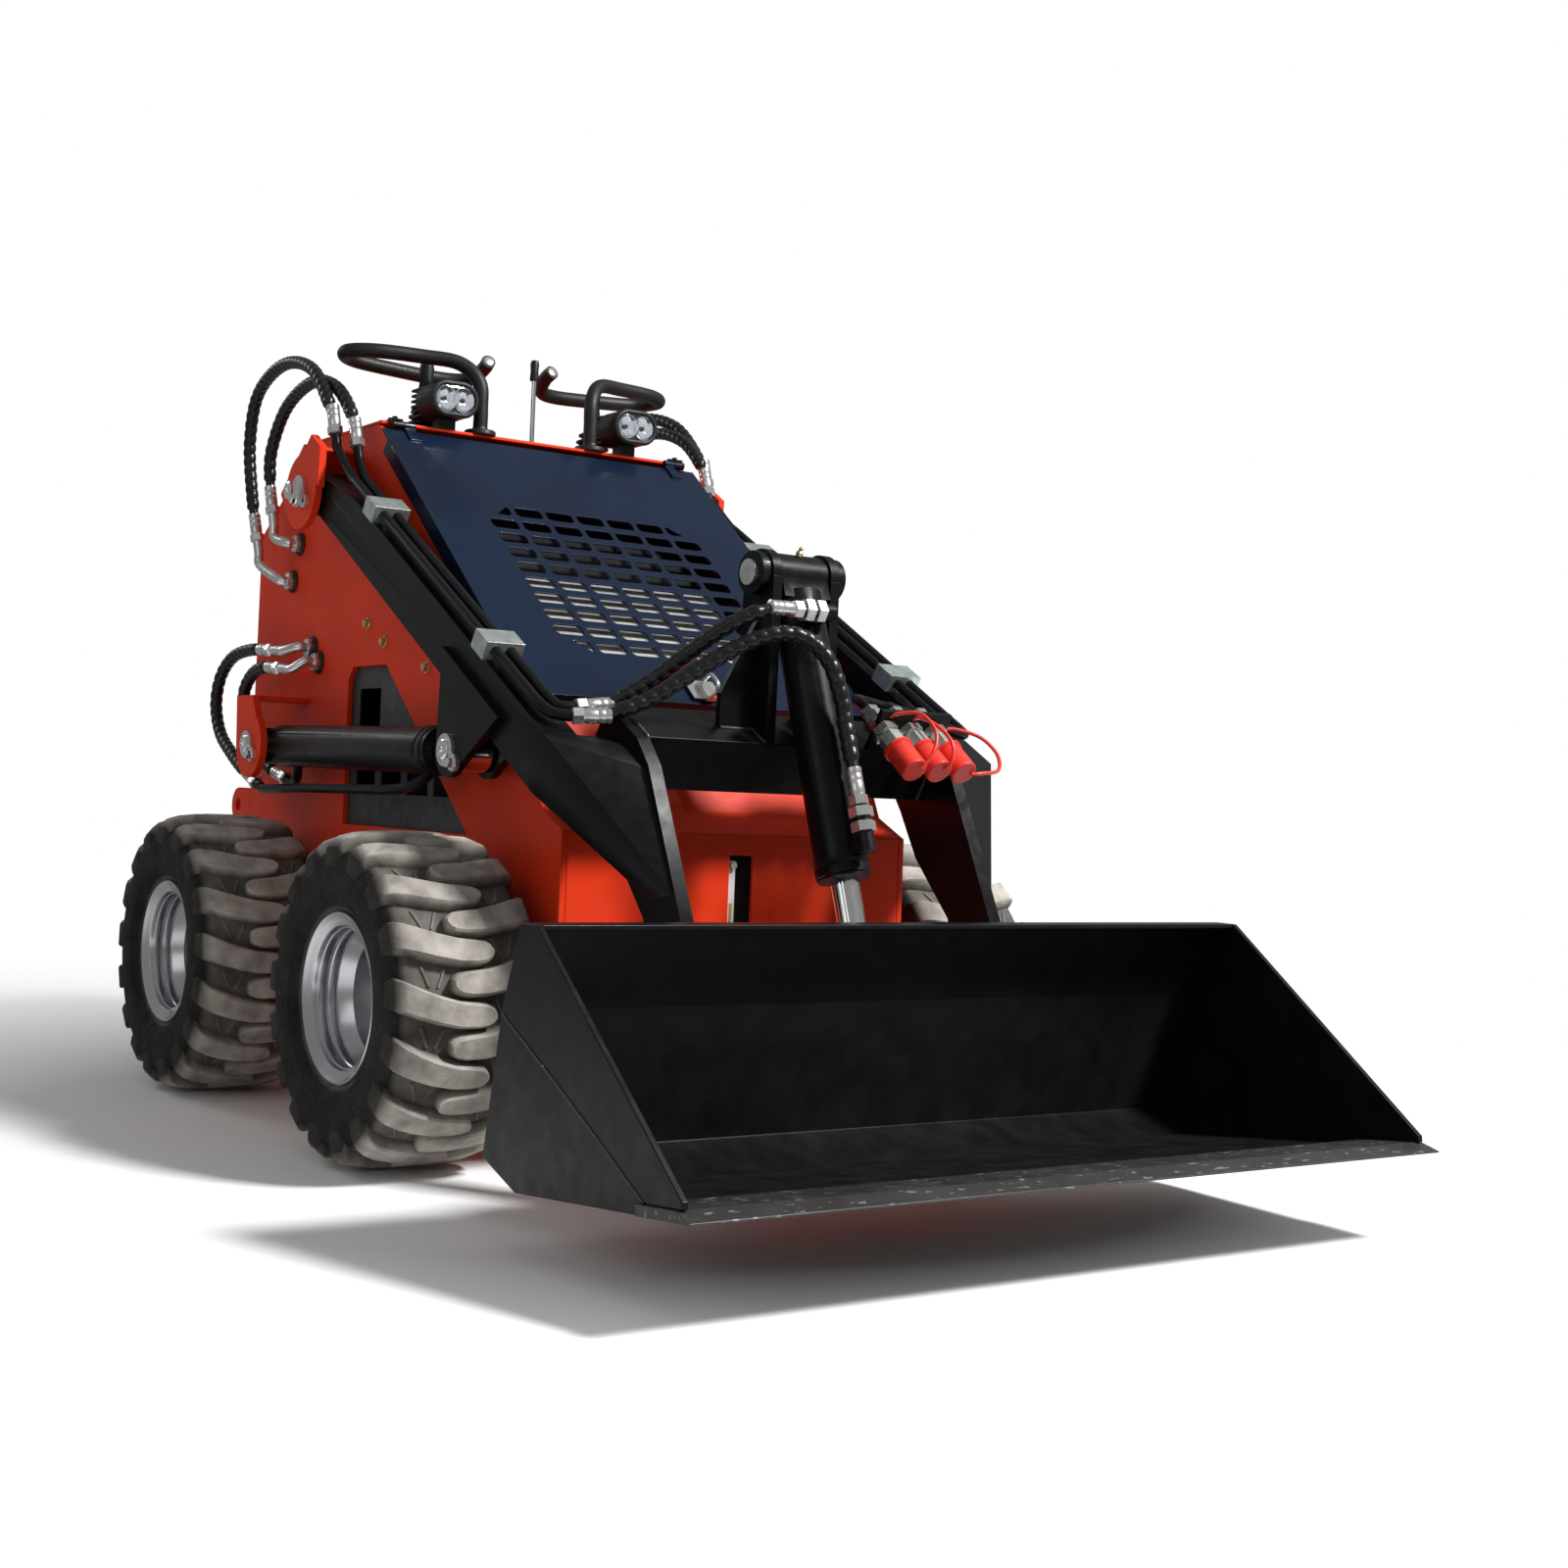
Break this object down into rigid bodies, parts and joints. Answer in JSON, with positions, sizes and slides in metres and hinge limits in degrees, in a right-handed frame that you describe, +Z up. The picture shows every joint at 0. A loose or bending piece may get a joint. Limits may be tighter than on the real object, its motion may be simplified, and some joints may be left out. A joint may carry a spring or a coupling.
{
  "type": "compact skid steer loader",
  "caption": "Compact walk-behind skid steer loader with a front bucket, hydraulic lift arms, sloped grille hood, lugged tyres and looped control handles.",
  "frame": {"origin": "on the ground under the middle of the machine's overall length and width", "axes": "+Y towards the rear along the machine's length, -Y towards the bucket, +X to the machine's left, +Z up"},
  "size_m": [1.14, 2.146, 1.27],
  "materials": {
    "red_paint": "gloss enamel",
    "navy_paint": "gloss enamel",
    "black_paint": "gloss enamel",
    "worn_steel": "scuffed black paint over steel",
    "zinc": "zinc plated",
    "dark_steel": "satin black",
    "bright_rod": "hard chrome",
    "cooler_fins": "bare aluminium",
    "rim_silver": "silver enamel",
    "tyre_rubber": "dusty rubber",
    "hose_rubber": "spiral guard",
    "handle_foam": "foam sleeve",
    "black_plastic": "moulded",
    "red_plastic": "soft moulded",
    "lamp_glass": "clear"
  },
  "bodies": {
    "chassis": {"side_plate_right": "red_paint", "side_plate_left": "red_paint", "belly_pan": "red_paint", "front_panel": "red_paint", "rear_panel": "red_paint", "top_deck": "red_paint", "instrument_panel": "black_plastic", "pivot_ears": "red_paint", "pivot_pins": "zinc", "side_covers": "dark_steel", "engine": "dark_steel", "oil_cooler": "cooler_fins", "hydraulic_tank": "black_paint", "wheel_motors": "dark_steel", "handlebars": "handle_foam", "lamp_bodies": "black_plastic", "lamp_lenses": "lamp_glass", "control_levers": "black_plastic", "operator_platform": "black_paint", "tie_down_eyes": "red_paint", "hood_hinges": "black_paint", "hose_fittings": "zinc", "lift_hoses_right": "hose_rubber", "lift_hoses_left": "hose_rubber", "cylinder_hoses_right": "hose_rubber", "cylinder_hoses_left": "hose_rubber"},
    "hood": {"hood_panel": "navy_paint"},
    "lift_arms": {"arm_right": "black_paint", "arm_left": "black_paint", "cross_tube": "black_paint", "tilt_tower": "black_paint", "arm_pins": "zinc", "arm_pipes": "dark_steel", "pipe_clamps": "zinc", "coupler_bracket": "black_paint", "aux_couplers": "zinc", "coupler_caps": "red_plastic", "tilt_hoses": "hose_rubber"},
    "right_lift_barrel": {"lift_barrel_right": "black_paint"},
    "left_lift_barrel": {"lift_barrel_left": "black_paint"},
    "right_lift_rod": {"lift_rod_right": "bright_rod"},
    "left_lift_rod": {"lift_rod_left": "bright_rod"},
    "tilt_cylinder_barrel": {"tilt_barrel": "black_paint"},
    "tilt_cylinder_rod": {"tilt_rod": "bright_rod"},
    "attachment": {"attach_plate": "black_paint", "bucket_shell": "black_paint", "bucket_sides": "black_paint", "cutting_edge": "worn_steel"},
    "front_right_wheel": {"rim_front_right": "rim_silver", "tyre_front_right": "tyre_rubber"},
    "rear_right_wheel": {"rim_rear_right": "rim_silver", "tyre_rear_right": "tyre_rubber"},
    "front_left_wheel": {"rim_front_left": "rim_silver", "tyre_front_left": "tyre_rubber"},
    "rear_left_wheel": {"rim_rear_left": "rim_silver", "tyre_rear_left": "tyre_rubber"}
  },
  "joints": [
    {"name": "front_right_wheel_spin", "type": "hinge", "parent": "chassis", "child": "front_right_wheel", "pos_m": [-0.446, -0.17702, 0.229], "axis": [1, 0, 0], "continuous": true},
    {"name": "rear_right_wheel_spin", "type": "hinge", "parent": "chassis", "child": "rear_right_wheel", "pos_m": [-0.446, 0.51498, 0.229], "axis": [1, 0, 0], "continuous": true},
    {"name": "front_left_wheel_spin", "type": "hinge", "parent": "chassis", "child": "front_left_wheel", "pos_m": [0.446, -0.17702, 0.229], "axis": [1, 0, 0], "continuous": true},
    {"name": "rear_left_wheel_spin", "type": "hinge", "parent": "chassis", "child": "rear_left_wheel", "pos_m": [0.446, 0.51498, 0.229], "axis": [1, 0, 0], "continuous": true},
    {"name": "arm_lift", "type": "hinge", "parent": "chassis", "child": "lift_arms", "pos_m": [0, 0.36498, 0.994], "axis": [-1, 0, 0], "range_deg": [-4, 68], "deforming": ["lift_hoses_right", "lift_hoses_left", "cylinder_hoses_right", "cylinder_hoses_left"]},
    {"name": "right_lift_barrel_pivot", "type": "hinge", "parent": "chassis", "child": "right_lift_barrel", "pos_m": [-0.356, 0.51998, 0.578], "axis": [-1, 0, 0], "range_deg": [-3.3, 46.7]},
    {"name": "right_lift_rod_slide", "type": "slide", "parent": "right_lift_barrel", "child": "right_lift_rod", "axis": [0, -1, -0.0085], "range_m": [-0.026, 0.375]},
    {"name": "left_lift_barrel_pivot", "type": "hinge", "parent": "chassis", "child": "left_lift_barrel", "pos_m": [0.356, 0.51998, 0.578], "axis": [-1, 0, 0], "range_deg": [-3.3, 46.7]},
    {"name": "left_lift_rod_slide", "type": "slide", "parent": "left_lift_barrel", "child": "left_lift_rod", "axis": [0, -1, -0.0085], "range_m": [-0.026, 0.375]},
    {"name": "bucket_tilt", "type": "hinge", "parent": "lift_arms", "child": "attachment", "pos_m": [0, -0.58202, 0.155], "axis": [1, 0, 0], "range_deg": [-15, 100], "deforming": ["tilt_hoses"]},
    {"name": "tilt_barrel_pivot", "type": "hinge", "parent": "lift_arms", "child": "tilt_cylinder_barrel", "pos_m": [0, -0.44502, 0.832], "axis": [1, 0, 0], "range_deg": [-1.2, 0.6]},
    {"name": "tilt_rod_slide", "type": "slide", "parent": "tilt_cylinder_barrel", "child": "tilt_cylinder_rod", "axis": [0, -0.3157, -0.9489], "range_m": [-0.036, 0.216]},
    {"name": "hood_open", "type": "hinge", "parent": "chassis", "child": "hood", "pos_m": [0, 0.26398, 1.106], "axis": [1, 0, 0], "range_deg": [-75, 0]}
  ],
  "couplings": [
    {"joint": "right_lift_barrel_pivot", "follows": "arm_lift", "ratio": 0.67842},
    {"joint": "right_lift_rod_slide", "follows": "arm_lift", "m_per_rad": 0.31153},
    {"joint": "left_lift_barrel_pivot", "follows": "arm_lift", "ratio": 0.67842},
    {"joint": "left_lift_rod_slide", "follows": "arm_lift", "m_per_rad": 0.31153},
    {"joint": "tilt_barrel_pivot", "follows": "bucket_tilt", "ratio": -0.0067},
    {"joint": "tilt_rod_slide", "follows": "bucket_tilt", "m_per_rad": 0.12068}
  ]
}
